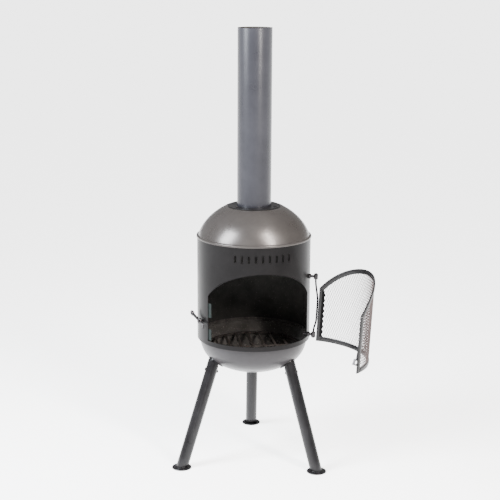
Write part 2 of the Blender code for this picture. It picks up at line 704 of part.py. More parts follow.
def make_hinge_rod(finish):
    """A cranked rod: its ends lie on the hinge axis and its middle runs beside the hinge stile."""
    beside = DOOR_HINGE_EDGE + ROD_RADIUS + GAP
    standoff = DOOR_STANDOFF + DOOR_DEPTH / 2
    path = [hinge_line(EYE_HIGH + ROD_OVERRUN), hinge_line(ROD_CRANK_HIGH[0]),
            on_shell(beside, standoff, ROD_CRANK_HIGH[1]), on_shell(beside, standoff, ROD_CRANK_LOW[0]),
            hinge_line(ROD_CRANK_LOW[1]), hinge_line(EYE_LOW - ROD_OVERRUN)]
    item = wire("hinge_rod", rounded(path, 0.012), ROD_RADIUS, finish)
    smooth(item, 50.0)
    return item


def strap_point(past, height):
    """A point of the strap by its distance past the frame's edge and its height."""
    return (DOOR_LATCH_EDGE - past, height)


def make_latch_strap(finish):
    """A holed plate on a slanting bar, on the inner face of the latch stile."""
    inside = BODY_RADIUS + STRAP_STANDOFF
    outside = DOOR_INSIDE - GAP
    turn = math.radians(STRAP_TURN)
    long_side, short_side = STRAP_SIZE
    corners = []
    for across, up in ((-1, -1), (1, -1), (1, 1), (-1, 1)):
        x = across * long_side / 2
        z = up * short_side / 2
        past = x * math.cos(turn) - z * math.sin(turn)
        corners.append(strap_point(past, STRAP_HEIGHT + x * math.sin(turn) + z * math.cos(turn)))
    strap = rolled_plate("latch_strap", corners, inside, outside, finish)
    top = Vector(STRAP_BAR_TOP)
    foot = Vector((0.0, STRAP_HEIGHT))
    side = (foot - top).orthogonal().normalized() * STRAP_BAR / 2
    outline = [strap_point(*corner) for corner in (top - side, top + side, foot + side, foot - side)]
    boolean(strap, rolled_plate("strap_bar", outline, inside, outside), "UNION")
    centre = facing_out(on_shell(DOOR_LATCH_EDGE, 0.0, STRAP_HEIGHT))
    boolean(strap, hole_cutter(STRAP_HOLE, centre, 0.02))
    smooth(strap)
    return strap


def hang_door(pieces):
    """Hang the shut door's pieces on the hinge axis, then swing them to the rest pose."""
    pivot = bpy.data.objects.new("door_hinge", None)
    NODES.objects.link(pivot)
    turn = Vector((0, 0, 1)).rotation_difference(hinge_direction())
    shut = Matrix.Translation(hinge_line(EYE_LOW)) @ turn.to_matrix().to_4x4()
    opened = shut @ Matrix.Rotation(math.radians(DOOR_OPEN), 4, "Z")
    pivot.matrix_world = opened
    for item in pieces:
        item.parent = pivot
        place(item, shut.inverted())


def latch_frame():
    return facing_out(on_shell(BODY_RADIUS * math.radians(LATCH_AZIMUTH), LATCH_STANDOFF, LATCH_HEIGHT))


def twisted_bar(name, start, end, size, twist, finish):
    """A square bar along X, turned steadily about its own axis."""
    length = end - start
    item = box(name, (length, size, size), ((start + end) / 2, 0, 0), finish)
    work = bmesh.new()
    work.from_mesh(item.data)
    for cut in np.linspace(start, end, 31)[1:-1]:
        everything = work.verts[:] + work.edges[:] + work.faces[:]
        bmesh.ops.bisect_plane(work, geom=everything, plane_co=(cut, 0, 0), plane_no=(1, 0, 0), dist=MERGE)
    for vert in work.verts:
        turn = math.radians(twist) * (vert.co.x - start) / length
        vert.co = Matrix.Rotation(turn, 3, "X") @ vert.co
    bmesh.ops.triangulate(work, faces=work.faces)
    work.to_mesh(item.data)
    work.free()
    return item


def make_latch(steel, bare):
    """A twisted bar on a pivot bolt: an eye to pull at one end, a hook at the other."""
    frame = latch_frame()
    bar_frame = frame @ Matrix.Rotation(math.radians(-LATCH_RISE), 4, "Z")
    handle = rod("latch_handle", LATCH_BAR * 1.25, -LATCH_BAR / 2, LATCH_BAR / 2, steel)
    tail = twisted_bar("tail", -LATCH_TAIL, -LATCH_BAR * 0.8, LATCH_BAR, LATCH_TWIST, None)
    boolean(handle, tail, "UNION")
    eye_centre = -LATCH_TAIL - LATCH_EYE_RADIUS * 0.55
    bpy.ops.mesh.primitive_torus_add(major_radius=LATCH_EYE_RADIUS - LATCH_BAR / 2, minor_radius=LATCH_BAR / 2,
                                     major_segments=28, minor_segments=10)
    eye = adopt("eye", None, Matrix.Translation((eye_centre, 0, 0)) @ Matrix.Diagonal((1.25, 0.82, 1.0, 1.0)))
    boolean(handle, eye, "UNION")
    bend = LATCH_BAR * 0.7
    arm_path = rounded([(LATCH_BAR * 0.8, 0, 0), (LATCH_ARM - bend, 0, 0), (LATCH_ARM - bend, -LATCH_HOOK, 0)], bend)
    boolean(handle, wire("arm", arm_path, LATCH_BAR / 2), "UNION")
    boolean(handle, hole_cutter(M6_RADIUS + HOLE_CLEARANCE, Matrix.Identity(4)))
    smooth(place(handle, bar_frame), 40.0)
    top = LATCH_BAR / 2 + 2 * GAP
    bolt = rod("latch_pivot", M6_RADIUS, SHELL_INSIDE - BODY_RADIUS - LATCH_STANDOFF - 0.012, top + 0.001, bare)
    boolean(bolt, hexagon("head", 0.010, top, top + 0.004), "UNION")
    spacer = rod("spacer", M6_RADIUS + 0.0020, -LATCH_STANDOFF + GAP, -LATCH_BAR / 2 - 2 * GAP)
    boolean(bolt, spacer, "UNION")
    smooth(place(bolt, frame))
    nut_top = SHELL_INSIDE - BODY_RADIUS - LATCH_STANDOFF - 2 * GAP
    nut = hexagon("latch_pivot_nut", 0.010, nut_top - 0.005, nut_top, bare)
    boolean(nut, hole_cutter(M6_RADIUS + GAP, Matrix.Translation((0, 0, nut_top))))
    place(nut, frame)


def centre_on_floor():
    """Move the whole assembly sideways, so that its bounding box is centred on the origin."""
    bpy.context.view_layer.update()
    corners = [item.matrix_world @ Vector(corner)
               for item in NODES.objects if item.type == "MESH" for corner in mesh_ends(item)]
    shift = Vector([-(max(c[k] for c in corners) + min(c[k] for c in corners)) / 2 for k in (0, 1)] + [0.0])
    for item in NODES.objects:
        if item.parent is None:
            item.matrix_world = Matrix.Translation(shift) @ item.matrix_world
    bpy.context.view_layer.update()


def mesh_ends(item):
    return [vert.co for vert in item.data.vertices]


def main():
    start_clean()
    steel = paint("charcoal_paint", (0.055, 0.054, 0.056), 0.45, 0.6)
    bare = paint("blackened_fastener", (0.040, 0.040, 0.042), 0.40, 0.9)
    expanded = paint("expanded_metal", (0.120, 0.115, 0.115), 0.45, 0.8)
    make_fire_body(steel, bare)
    make_flue(steel, bare)
    make_legs(steel, bare)
    make_hinge(steel, bare)
    make_door(steel, bare, expanded)
    make_latch(steel, bare)
    centre_on_floor()


main()
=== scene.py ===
import json
import math

import bmesh
import bpy
from mathutils import Matrix, Vector


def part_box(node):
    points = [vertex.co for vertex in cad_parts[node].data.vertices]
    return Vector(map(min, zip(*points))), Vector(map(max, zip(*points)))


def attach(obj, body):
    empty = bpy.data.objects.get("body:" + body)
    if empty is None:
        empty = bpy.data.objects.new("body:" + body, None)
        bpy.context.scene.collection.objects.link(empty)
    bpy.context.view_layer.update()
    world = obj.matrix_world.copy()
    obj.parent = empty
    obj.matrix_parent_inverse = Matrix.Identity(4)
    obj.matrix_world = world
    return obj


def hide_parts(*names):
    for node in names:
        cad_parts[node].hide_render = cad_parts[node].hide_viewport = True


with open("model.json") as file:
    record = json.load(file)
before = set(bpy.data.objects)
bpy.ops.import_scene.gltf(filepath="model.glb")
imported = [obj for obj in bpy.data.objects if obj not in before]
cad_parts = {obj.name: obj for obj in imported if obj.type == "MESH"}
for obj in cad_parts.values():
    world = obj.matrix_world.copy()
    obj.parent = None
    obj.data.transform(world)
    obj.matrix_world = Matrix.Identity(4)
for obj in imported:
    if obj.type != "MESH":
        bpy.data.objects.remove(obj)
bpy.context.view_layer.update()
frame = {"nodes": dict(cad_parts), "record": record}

joints = {joint["name"]: joint for joint in frame["record"]["behaviour"]["joints"]}
mounts = {mount["name"]: mount for mount in frame["record"]["mounts"]}

# ---------------------------------------------------------------- sizes, in metres
low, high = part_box("flue_pipe")
AXIS = Vector(((low[0] + high[0]) / 2, (low[1] + high[1]) / 2, 0.0))
FLUE_TOP = high[2]
FLUE_FOOT = low[2]
UP = Vector((0.0, 0.0, 1.0))

AIR = 0.0003                # left between pieces that lie on each other
FINE_EDGE = 0.0004          # the roundings of edges, from the thinnest sheet to the feet
SHEET_EDGE = 0.0005
PLATE_EDGE = 0.0006
RAIL_EDGE = 0.0007
FLANGE_EDGE = 0.0009
FOOT_EDGE = 0.0010
WELD_DISTANCE = 0.00001     # vertices nearer than this are one

BODY_RADIUS = 0.2000
SHEET = 0.0022
SHELL_BOTTOM = 0.4470
SHELL_TOP = 0.8167
SHELL_SIDES = 192
MOUTH_HALF = 0.2147
SILL = 0.4630
MOUTH_SIDE_TOP = 0.6240
MOUTH_PEAK = 0.7190
MOUTH_CUT_INSIDE = 0.1800
MOUTH_CUT_OUTSIDE = 0.2160
VENTS = 9
VENT_PITCH = 0.0240
VENT_WIDTH = 0.0085
VENT_LENGTH = 0.0270
VENT_HEIGHT = 0.7710
VENT_CUT = 0.0300           # the cutter's length through the shell
VENT_BAND = 0.0160          # from the slots' middle to the rings above and below them
SHELL_RINGS = [0.800, VENT_HEIGHT + VENT_BAND, VENT_HEIGHT - VENT_BAND,
               0.735, 0.680, 0.624, 0.570, 0.510, 0.4635, 0.455]

RIM_HEIGHT = 0.8115
SEAT_HEIGHT = 0.9195
SEAT_RADIUS = 0.1000
DOME_SIDES = 160
DOME_STEPS = 34
DOME_SHEET = 0.0020
DOME_EDGE = BODY_RADIUS + 0.0010
DOME_SHOULDER = SHELL_TOP + 0.0022
DOME_POWER = 1.84           # of the superellipse that its section follows
DOME_BASE = RIM_HEIGHT - 0.0215

BOWL_LEVEL = SHELL_BOTTOM - 0.0015
BOWL_STEP = 0.1900
BOWL_SHEET = 0.0025
BOWL_STEPS = 44
KNUCKLE = 0.0985            # the radius of the section's tight bend
CROWN = 0.2816              # the radius of its shallow middle

FLUE_RADIUS = 0.0596
FLUE_WALL = 0.0018
FLUE_SIDES = 128
FLANGE_RADIUS = 0.0918
FLANGE_TOP = SEAT_HEIGHT + 0.0035
SEAT_BORE = FLUE_RADIUS + 0.0004

LEG_TOP_RADIUS = 0.1600
LEG_RADIUS = 0.0209
LEG_WALL = 0.0018
LEG_SIDES = 64
LEG_SPARE_BELOW = 0.0300    # the tube is made too long at both ends, then cut to its planes
LEG_SPARE_ABOVE = 0.0500
LEG_LOW_RING = 0.0400
LEG_GAP = 0.0039            # from the bowl's skin to the leg's upper end
LEG_HEEL_TILT = math.radians(7.0)
FOOT_RADIUS = 0.0345
FOOT_THICKNESS = 0.0040
FOOT_SIDES = 96
FOOT_RING = 0.0300          # the two inner rings of its top
FOOT_MIDDLE = 0.0020
BEAD_RADIUS = 0.0024
BEAD_OUT = LEG_RADIUS + 0.0004
BEAD_SPAN = math.radians(100.0)     # to each side of straight out
BEAD_ROUNDING = 0.0010
BEAD_STEPS = 24

DOOR_INSIDE = 0.2030
DOOR_OUTSIDE = 0.2090
DOOR_RAIL = 0.0170
RAIL_CROWN = 0.0016         # how far a rail's rolled section bulges
RAIL_ROUNDNESS = 0.7
STILE_GAP = 0.0006          # under the arch
DOOR_RIGHT = 0.2154
DOOR_LEFT = -0.2025
DOOR_BOTTOM = 0.4525
DOOR_SIDE_TOP = 0.6451
DOOR_PEAK = 0.7486
MESH_RADIUS = 0.2060
MESH_INSET = 0.0060
MESH_STRAND = 0.0018
MESH_ARCH_CUTS = 18
DIAMOND_WIDTH = 0.0085
DIAMOND_HEIGHT = 0.0190
SPARE_DIAMONDS = 4
SELVEDGE_FOOT = 0.0010      # left below and above the folded edge
SELVEDGE_HEAD = 0.0030
SELVEDGE_LAP = 0.0060       # how far the folded edge reaches over its stile
SELVEDGE_WIDTH = 0.0072
SELVEDGE_SCALLOP = 0.0042
SELVEDGE_HALF = 0.0012      # half of its thickness
ROD_RADIUS = 0.0033
ROD_BEND = 0.0140
ROD_BESIDE = DOOR_RIGHT + 0.0036
ROD_EYE_HEIGHTS = (0.692, 0.658, 0.492, 0.458)      # where it lies on the hinge's line
ROD_CRANK_HEIGHTS = (0.606, 0.522)                  # where it lies along the stile

LATCH_BAR = 0.0078
LATCH_EYE = 0.0114
LATCH_TAIL = 0.0580
LATCH_REACH = 0.0350
LATCH_FINGER = 0.0140
LATCH_BORE = 0.0034
LATCH_TILT = math.radians(-11.0)
LATCH_TWIST = math.radians(540.0)
LATCH_STEPS = 72
STRAP_PLATE_TOP = 0.5045
STRAP_BAR_BOTTOM = 0.5075

FIRE_UNDER_DOME = AXIS + UP * 0.72
FIRE_OVER_BOWL = AXIS + UP * 0.62
FACES_FIRE = 0.35           # cosines past which a face looks at the fire, at the axis or up
FACES_AXIS = -0.5
FACES_UP = 0.9
BEND_STEPS = 8
BEND_LIMIT = 2.1            # a bend reaches at most 1 / 2.1 along each of its two sides

CAMERA_BEARING = -8.9       # degrees, like the two below
CAMERA_PITCH = 77.11
CAMERA_ROLL = 0.28
CAMERA_PLACE = Vector((-0.691, -4.325, 1.763))      # from the fire's axis on the floor
FLOOR_RADIUS = 60.0
FLOOR_DROP = 0.0002
FLOOR_GLOW = 3.4
WORLD_GLOW = 0.42


# ---------------------------------------------------------------- modelling by hand, in code
def clear_selection():
    if bpy.context.object and bpy.context.object.mode != "OBJECT":
        bpy.ops.object.mode_set(mode="OBJECT")
    bpy.ops.object.select_all(action="DESELECT")


def select_only(made):
    clear_selection()
    made.select_set(True)
    bpy.context.view_layer.objects.active = made


def named(name):
    made = bpy.context.object
    made.name = name
    made.data.name = name
    return made


def into_edit():
    bpy.ops.object.mode_set(mode="EDIT")
    bpy.ops.mesh.select_all(action="SELECT")


def out_of_edit():
    bpy.ops.object.mode_set(mode="OBJECT")


def extrude(x, y, z):
    bpy.ops.mesh.extrude_region_move(TRANSFORM_OT_translate={"value": (x, y, z)})


def tidy_skin():
    """Welds what meets and turns every face outwards."""
    bpy.ops.mesh.select_all(action="SELECT")
    bpy.ops.mesh.remove_doubles(threshold=WELD_DISTANCE)
    bpy.ops.mesh.normals_make_consistent(inside=False)


def with_modifier(made, kind, **settings):
    bpy.context.view_layer.objects.active = made
    step = made.modifiers.new(kind.lower(), kind)
    for key, value in settings.items():
        setattr(step, key, value)
    bpy.ops.object.modifier_apply(modifier=step.name)


def soften(made, width, degrees):
    """Rounds every edge that is sharper than an angle."""
    with_modifier(made, "BEVEL", width=width, segments=2, limit_method="ANGLE",
                  angle_limit=math.radians(degrees), use_clamp_overlap=True)


def settle(made, matrix=None):
    """Puts the piece's place in its mesh and leaves the object at the origin."""
    select_only(made)
    if matrix is not None:
        made.matrix_world = matrix @ made.matrix_world
    bpy.ops.object.transform_apply(location=True, rotation=True, scale=True)
    return made


def finish_piece(made, body, materials, nodes, smooth_degrees):
    """Gives a piece its smooth faces, its finishes and its body, and hides the CAD nodes it stands for."""
    select_only(made)
    bpy.ops.object.shade_smooth_by_angle(angle=math.radians(smooth_degrees))
    finish_of_face = [face.material_index for face in made.data.polygons]
    made.data.materials.clear()
    for material in materials:
        made.data.materials.append(material)
    for face, index in zip(made.data.polygons, finish_of_face):
        face.material_index = min(index, len(materials) - 1)
    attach(made, body)
    if nodes:
        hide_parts(*nodes)


def beside_shell(along, radius, height):
    """The point at an arc length along the shell, counted from the middle of its front."""
    angle = along / BODY_RADIUS
    return AXIS + Vector((radius * math.sin(angle), -radius * math.cos(angle), height))


def turned(name, profile, sides, centre, closed=True):
    """One ring is extruded from point to point of a (radius, height) profile round an upright axis."""
    clear_selection()
    radius, height = profile[0]
    bpy.ops.mesh.primitive_circle_add(vertices=sides, radius=radius, location=(centre.x, centre.y, height))
    made = named(name)
    into_edit()
    for next_radius, next_height in profile[1:] + (profile[:1] if closed else []):
        extrude(0, 0, next_height - height)
        share = next_radius / radius
        bpy.ops.transform.resize(value=(share, share, 1), center_override=(centre.x, centre.y, next_height))
        radius, height = next_radius, next_height
    if not closed:
        bpy.ops.mesh.merge(type="CENTER")
    tidy_skin()
    out_of_edit()
    return settle(made)


def bent_panel(name, across, upwards, columns, rows, inside, outside, swell=None):
    """A grid is bent to the shell's curve by arc length and height, then thickened outwards.

    swell gives how far both faces bulge at a place on the panel, for a rolled section.
    """
    clear_selection()
    bpy.ops.mesh.primitive_grid_add(x_subdivisions=columns, y_subdivisions=rows, size=1.0, location=(0, 0, 0))
    made = named(name)
    into_edit()
    work = bmesh.from_edit_mesh(made.data)
    for vert in work.verts:
        share = vert.co.x + 0.5
        lift = vert.co.y + 0.5
        radius = inside - (swell(share, lift) if swell else 0.0)
        vert.co = beside_shell(across(share, lift), radius, upwards(share, lift))
    bmesh.update_edit_mesh(made.data)
    extrude(0, 0, 0)
    if swell is None:
        grow = outside / inside
        bpy.ops.transform.resize(value=(grow, grow, 1), center_override=(AXIS.x, AXIS.y, 0.5))
    else:
        work = bmesh.from_edit_mesh(made.data)
        for vert in (vert for vert in work.verts if vert.select):
            flat = Vector((vert.co.x - AXIS.x, vert.co.y - AXIS.y, 0.0))
            mirrored = (inside + outside - flat.length) / flat.length
            vert.co = AXIS + Vector((flat.x * mirrored, flat.y * mirrored, vert.co.z))
        bmesh.update_edit_mesh(made.data)
    tidy_skin()
    out_of_edit()
    return made


def cut_with(made, cutter):
    with_modifier(made, "BOOLEAN", operation="DIFFERENCE", solver="EXACT", object=cutter)
    bpy.data.objects.remove(cutter)


def joined(made, *others):
    select_only(made)
    for other in others:
        other.select_set(True)
    bpy.ops.object.join()
    return made


def drawn_rod(name, points, radius, rounding):
    """A round bar along a path with rounded bends."""
    path = [Vector(points[0])]
    for before, corner, after in zip(points, points[1:], points[2:]):
        corner = Vector(corner)
        back = Vector(before) - corner
        ahead = Vector(after) - corner
        reach = min(rounding, back.length / BEND_LIMIT, ahead.length / BEND_LIMIT)
        first = corner + back.normalized() * reach
        last = corner + ahead.normalized() * reach
        for i in range(BEND_STEPS + 1):
            t = i / BEND_STEPS
            path.append(first * (1 - t) ** 2 + corner * 2 * t * (1 - t) + last * t * t)
    path.append(Vector(points[-1]))
    curve = bpy.data.curves.new(name, "CURVE")
    curve.dimensions = "3D"
    curve.bevel_depth = radius
    curve.bevel_resolution = 6
    curve.use_fill_caps = True
    spline = curve.splines.new("POLY")
    spline.points.add(len(path) - 1)
    for point, position in zip(spline.points, path):
        point.co = (*position, 1.0)
    made = bpy.data.objects.new(name, curve)
    bpy.context.scene.collection.objects.link(made)
    select_only(made)
    bpy.ops.object.convert(target="MESH")
    made = named(name)
    into_edit()
    tidy_skin()
    out_of_edit()
    return made


def arch_height(along, left, right, side_top, peak, inset=0.0):
    """Height of a circular arch over a developed width, or of the arch set in from it."""
    half = (right - left) / 2
    rise = peak - side_top
    radius = (half * half + rise * rise) / (2 * rise)
    away = min(abs(along - (left + right) / 2), half)
    return peak - radius + math.sqrt((radius - inset) ** 2 - away * away)


def slope_at(curve, place, nudge):
    return (curve(place + nudge) - curve(place - nudge)) / (2 * nudge)


# ---------------------------------------------------------------- finishes
MIX_FIRST = 6               # the colour sockets of a mix node: two that go in, one that comes out
MIX_SECOND = 7
MIX_RESULT = 2
DUST_LIFT = 0.04            # dust is paler than the paint it lies on
DUST_GAIN = 1.6


def node(tree, kind, **settings):
    made = tree.nodes.new(kind)
    for key, value in settings.items():
        setattr(made, key, value)
    return made


def new_group(name, inputs, outputs):
    """A group of plain numbers: its tree, what goes in, what comes out and the place on the piece."""
    tree = bpy.data.node_groups.new(name, "ShaderNodeTree")
    for label, value in inputs.items():
        socket = tree.interface.new_socket(name=label, in_out="INPUT", socket_type="NodeSocketFloat")
        socket.default_value = value
    for label in outputs:
        tree.interface.new_socket(name=label, in_out="OUTPUT", socket_type="NodeSocketFloat")
    entry = node(tree, "NodeGroupInput").outputs
    leave = node(tree, "NodeGroupOutput").inputs
    return tree, entry, leave, node(tree, "ShaderNodeTexCoord").outputs["Object"]


def feed(tree, value, socket):
    """A number or another node's result goes into a socket."""
    if isinstance(value, (int, float)):
        socket.default_value = value
    else:
        tree.links.new(value, socket)


def math_node(tree, operation, first, second):
    """Two values worked into one, held between 0 and 1."""
    made = node(tree, "ShaderNodeMath", operation=operation, use_clamp=True)
    feed(tree, first, made.inputs[0])
    feed(tree, second, made.inputs[1])
    return made.outputs[0]


def islands(tree, value, threshold, gain):
    """Nothing up to a threshold, then a steep rise: the peaks of a noise."""
    return math_node(tree, "MULTIPLY", math_node(tree, "SUBTRACT", value, threshold), gain)


def noise(tree, place, scale, detail, roughness=0.55):
    made = node(tree, "ShaderNodeTexNoise")
    made.inputs["Detail"].default_value = detail
    made.inputs["Roughness"].default_value = roughness
    tree.links.new(place, made.inputs["Vector"])
    feed(tree, scale, made.inputs["Scale"])
    return made.outputs["Fac"]


def make_paint_texture():
    """Heat-proof paint: a sprayed grain, cloudy patches and fine dust."""
    tree, entry, leave, place = new_group("sprayed_paint",
                                          {"Grain Scale": 900.0, "Cloud Scale": 9.0, "Dust": 0.3},
                                          ("Grain", "Cloud", "Dust Mask"))
    tree.links.new(noise(tree, place, entry["Grain Scale"], detail=2.0), leave["Grain"])
    tree.links.new(noise(tree, place, entry["Cloud Scale"], detail=4.0, roughness=0.6), leave["Cloud"])
    specks = islands(tree, noise(tree, place, 420.0, detail=3.0, roughness=0.7), threshold=0.56, gain=6.0)
    patches = islands(tree, noise(tree, place, 14.0, detail=3.0), threshold=0.42, gain=3.0)
    dusty = math_node(tree, "MULTIPLY", math_node(tree, "MULTIPLY", specks, patches), entry["Dust"])
    tree.links.new(dusty, leave["Dust Mask"])
    return tree


def make_soot_texture():
    """Soot: soft banks of carbon over scorched steel, with pale ash flecks."""
    tree, entry, leave, place = new_group("soot_banks", {"Scale": 12.0, "Ash": 0.2},
                                          ("Soot", "Fleck", "Crust"))
    tree.links.new(noise(tree, place, entry["Scale"], detail=6.0, roughness=0.65), leave["Soot"])
    flecks = islands(tree, noise(tree, place, 160.0, detail=4.0, roughness=0.7), threshold=0.60, gain=8.0)
    tree.links.new(math_node(tree, "MULTIPLY", flecks, entry["Ash"]), leave["Fleck"])
    tree.links.new(noise(tree, place, 300.0, detail=5.0, roughness=0.6), leave["Crust"])
    return tree


def make_metal_texture():
    """Bare or blackened steel: a drawn grain, heat stains and small rust freckles."""
    tree, entry, leave, place = new_group("worked_steel", {"Grain Scale": 500.0, "Rust": 0.2},
                                          ("Grain", "Stain", "Freckle"))
    tree.links.new(noise(tree, place, entry["Grain Scale"], detail=3.0), leave["Grain"])
    tree.links.new(noise(tree, place, 60.0, detail=4.0), leave["Stain"])
    freckles = islands(tree, noise(tree, place, 210.0, detail=3.0, roughness=0.7), threshold=0.58, gain=7.0)
    tree.links.new(math_node(tree, "MULTIPLY", freckles, entry["Rust"]), leave["Freckle"])
    return tree


PAINT_TEXTURE = make_paint_texture()
SOOT_TEXTURE = make_soot_texture()
METAL_TEXTURE = make_metal_texture()


def colour_mix(tree, mask, dark, light):
    made = node(tree, "ShaderNodeMix", data_type="RGBA")
    tree.links.new(mask, made.inputs["Factor"])
    for socket, value in ((made.inputs[MIX_FIRST], dark), (made.inputs[MIX_SECOND], light)):
        if isinstance(value, tuple):
            socket.default_value = (*value, 1.0)
        else:
            tree.links.new(value, socket)
    return made.outputs[MIX_RESULT]


def ranged(tree, value, low_out=0.0, high_out=1.0, low_in=0.3, high_in=0.7):
    made = node(tree, "ShaderNodeMapRange")
    tree.links.new(value, made.inputs["Value"])
    made.inputs["From Min"].default_value = low_in
    made.inputs["From Max"].default_value = high_in
    made.inputs["To Min"].default_value = low_out
    made.inputs["To Max"].default_value = high_out
    return made.outputs["Result"]


def bumped(tree, height, strength, distance):
    made = node(tree, "ShaderNodeBump")
    made.inputs["Strength"].default_value = strength
    made.inputs["Distance"].default_value = distance
    tree.links.new(height, made.inputs["Height"])
    return made.outputs["Normal"]


def new_material(name, metallic):
    material = bpy.data.materials.new(name)
    material.use_nodes = True
    shader = material.node_tree.nodes["Principled BSDF"]
    shader.inputs["Metallic"].default_value = metallic
    return material, material.node_tree, shader


def painted(name, dark, light, roughness, metallic, dust, cloud, shine):
    material, tree, shader = new_material(name, metallic)
    texture = node(tree, "ShaderNodeGroup", node_tree=PAINT_TEXTURE)
    texture.inputs["Dust"].default_value = dust
    texture.inputs["Cloud Scale"].default_value = cloud
    base = colour_mix(tree, ranged(tree, texture.outputs["Cloud"]), dark, light)
    dust_colour = tuple(DUST_LIFT + DUST_GAIN * channel for channel in light)
    dusty = colour_mix(tree, texture.outputs["Dust Mask"], base, dust_colour)
    tree.links.new(dusty, shader.inputs["Base Color"])
    rough = ranged(tree, texture.outputs["Cloud"], roughness - 0.04, roughness + 0.05)
    tree.links.new(rough, shader.inputs["Roughness"])
    grain = bumped(tree, texture.outputs["Grain"], strength=0.08, distance=0.0003)
    tree.links.new(grain, shader.inputs["Normal"])
    shader.inputs["Specular IOR Level"].default_value = shine
    return material


def sooty(name, dark, light, ash):
    material, tree, shader = new_material(name, 0.0)
    texture = node(tree, "ShaderNodeGroup", node_tree=SOOT_TEXTURE)
    texture.inputs["Ash"].default_value = ash
    base = colour_mix(tree, ranged(tree, texture.outputs["Soot"]), dark, light)
    flecked = colour_mix(tree, texture.outputs["Fleck"], base, (0.22, 0.20, 0.19))
    tree.links.new(flecked, shader.inputs["Base Color"])
    tree.links.new(ranged(tree, texture.outputs["Soot"], 0.96, 0.78), shader.inputs["Roughness"])
    crust = bumped(tree, texture.outputs["Crust"], strength=0.35, distance=0.0012)
    tree.links.new(crust, shader.inputs["Normal"])
    return material


def bump_steel(tree, texture, shader):
    grain = bumped(tree, texture.outputs["Grain"], strength=0.15, distance=0.0004)
    tree.links.new(grain, shader.inputs["Normal"])


def steel(name, dark, light, roughness, rust, metallic):
    material, tree, shader = new_material(name, metallic)
    texture = node(tree, "ShaderNodeGroup", node_tree=METAL_TEXTURE)
    texture.inputs["Rust"].default_value = rust
    base = colour_mix(tree, ranged(tree, texture.outputs["Stain"]), dark, light)
    freckled = colour_mix(tree, texture.outputs["Freckle"], base, (0.13, 0.055, 0.025))
    tree.links.new(freckled, shader.inputs["Base Color"])
    rough = ranged(tree, texture.outputs["Stain"], roughness + 0.08, roughness - 0.06)
    tree.links.new(rough, shader.inputs["Roughness"])
    bump_steel(tree, texture, shader)
    return material


# One charcoal paint in six copies, each made lighter or darker for the light its parts get, so their colours
# hold painted light and painted shade: the dome copy is painted lighter for the light from above, the bowl
# copy lighter for the floor's light and the flue copy lighter too, while the body, leg and door copies (the
# door copy also on the flue collar) are painted darker as shade. The grain, cloudy patches and dust in each
# copy are the paint's own.
FLUE_PAINT_PAINTED_LIGHTER = painted("flue_paint_painted_lighter", (0.011, 0.011, 0.0145), (0.019, 0.019, 0.024),
                     roughness=0.30, metallic=0.10, dust=0.08, cloud=7.0, shine=0.30)
DOME_PAINT_PAINTED_TOP_LIGHT = painted("dome_paint_painted_top_light", (0.042, 0.037, 0.035), (0.062, 0.056, 0.053),
                     roughness=0.28, metallic=0.50, dust=0.08, cloud=6.0, shine=0.38)
BODY_PAINT_PAINTED_SHADE = painted("body_paint_painted_shade", (0.0036, 0.0033, 0.0034), (0.0072, 0.0066, 0.0068),
                     roughness=0.31, metallic=0.02, dust=0.25, cloud=8.0, shine=0.07)
BOWL_PAINT_PAINTED_FLOOR_LIGHT = painted("bowl_paint_painted_floor_light", (0.019, 0.018, 0.019), (0.029, 0.027, 0.029),
                     roughness=0.30, metallic=0.12, dust=0.20, cloud=9.0, shine=0.16)
LEG_PAINT_PAINTED_SHADE = painted("leg_paint_painted_shade", (0.0058, 0.0054, 0.0060), (0.0105, 0.0098, 0.0108),
                    roughness=0.30, metallic=0.06, dust=0.30, cloud=14.0, shine=0.20)
DOOR_PAINT_PAINTED_SHADE = painted("door_paint_painted_shade", (0.0048, 0.0045, 0.0048), (0.0095, 0.0090, 0.0095),
                     roughness=0.36, metallic=0.08, dust=0.20, cloud=18.0, shine=0.24)
ROD_PAINT = painted("rod_paint", (0.0025, 0.0024, 0.0026), (0.0050, 0.0048, 0.0052),
                    roughness=0.75, metallic=0.0, dust=0.05, cloud=30.0, shine=0.04)
EDGE_STEEL = steel("sawn_edge", (0.045, 0.043, 0.045), (0.085, 0.082, 0.085),
                   roughness=0.42, rust=0.15, metallic=0.9)
FASTENER_STEEL = steel("blackened_steel", (0.014, 0.013, 0.014), (0.030, 0.028, 0.030),
                       roughness=0.38, rust=0.30, metallic=0.6)
LATTICE_STEEL = steel("expanded_steel", (0.040, 0.029, 0.028), (0.072, 0.055, 0.053),
                      roughness=0.50, rust=0.35, metallic=0.5)
GRATE_IRON = steel("grate_iron", (0.030, 0.026, 0.024), (0.055, 0.048, 0.044),
                   roughness=0.62, rust=0.60, metallic=0.6)
STOP_PAINT = painted("stop_paint", (0.008, 0.011, 0.0105), (0.015, 0.019, 0.018),
                     roughness=0.70, metallic=0.0, dust=0.2, cloud=30.0, shine=0.06)
SOOT = sooty("soot", (0.006, 0.0055, 0.005), (0.017, 0.015, 0.013), ash=0.25)
ASH = sooty("ash_bed", (0.020, 0.018, 0.016), (0.060, 0.054, 0.050), ash=0.8)


def make_room(made, count):
    """Empty slots, so that faces can be marked before the piece gets its finishes."""
    while len(made.data.materials) < count:
        made.data.materials.append(None)


def soot_towards(made, fire):
    """Gives the second finish to the faces that look at a point in the fire."""
    make_room(made, 2)
    for face in made.data.polygons:
        towards = fire - face.center
        if towards.dot(face.normal) > FACES_FIRE * towards.length:
            face.material_index = 1


def from_axis(face):
    """How far a face is from the axis, and from 1 to -1 how squarely it looks away from it."""
    out = Vector((face.center.x - AXIS.x, face.center.y - AXIS.y, 0.0))
    return out.length, out.normalized().dot(face.normal)


